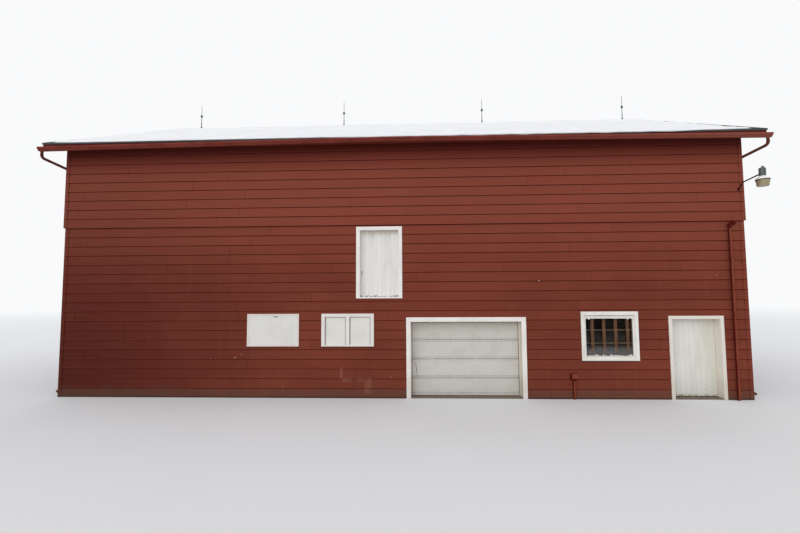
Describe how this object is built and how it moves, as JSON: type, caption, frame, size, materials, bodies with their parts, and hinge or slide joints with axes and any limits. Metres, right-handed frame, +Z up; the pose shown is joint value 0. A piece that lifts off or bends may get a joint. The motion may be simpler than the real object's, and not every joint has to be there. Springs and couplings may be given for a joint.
{
  "type": "two-storey red timber barn",
  "caption": "Long red lap-sided barn with a gabled roof, a sectional garage door, a hay door above, low windows and a hinged side door.",
  "frame": {"origin": "middle of the footprint over the lower walls, at ground level on the underside of the floor", "axes": "+Z up, the long front faces -Y, +X along the front to the right as seen from outside"},
  "size_m": [20.4992, 12.55, 11.3067],
  "materials": {
    "red_siding": "matte barn-red paint",
    "white_trim": "satin white paint",
    "cream_boards": "weathered off-white paint",
    "garage_door_paint": "weathered pale grey-green paint",
    "window_panels": "satin white",
    "window_glass": "clear glass",
    "bare_timber": "unpainted timber",
    "roof_shingles": "mineral-faced shingles",
    "red_metal": "satin barn-red paint",
    "grey_metal": "dull galvanised steel",
    "dark_iron": "black iron",
    "floor_concrete": "trowelled concrete"
  },
  "bodies": {
    "barn": {"ground_floor": "floor_concrete", "front_wall_left": "red_siding", "front_wall_over_garage": "red_siding", "front_wall_middle": "red_siding", "front_wall_over_door": "red_siding", "front_wall_right": "red_siding", "front_wall_upper": "red_siding", "rear_wall_lower": "red_siding", "rear_wall_upper": "red_siding", "left_gable_lower": "red_siding", "left_gable_upper": "red_siding", "right_gable_lower": "red_siding", "right_gable_upper": "red_siding", "corner_boards": "red_siding", "garage_frame": "white_trim", "garage_door": "garage_door_paint", "garage_tracks": "grey_metal", "side_door_frame": "white_trim", "side_door_pintles": "dark_iron", "hay_door_frame": "white_trim", "hay_door": "cream_boards", "glazed_window_frame": "white_trim", "glazed_window_glass": "window_glass", "inner_sash": "bare_timber", "slider_window_frame": "white_trim", "slider_window_panels": "window_panels", "boarded_window": "white_trim", "loft_posts": "bare_timber", "loft_girders": "bare_timber", "loft_ledgers": "bare_timber", "loft_joists": "bare_timber", "loft_floor": "bare_timber", "purlin_posts": "bare_timber", "purlin_ties": "bare_timber", "purlins": "bare_timber", "knee_braces": "bare_timber", "wall_plates": "bare_timber", "ridge_board": "bare_timber", "rafters": "bare_timber", "roof_front": "roof_shingles", "roof_rear": "roof_shingles", "ridge_cap": "roof_shingles", "eave_boards": "red_siding", "rake_boards": "red_siding", "front_gutter": "red_metal", "rear_gutter": "red_metal", "downspouts": "red_metal", "lightning_rods": "grey_metal", "yard_light": "grey_metal", "wall_box": "red_metal", "service_mast": "red_metal"},
    "side_door": {"side_door": "cream_boards"}
  },
  "joints": [
    {"name": "side_door_hinge", "type": "hinge", "parent": "barn", "child": "side_door", "pos_m": [8.99, -5.225, 1], "axis": [0, 0, -1], "range_deg": [0, 100]}
  ]
}
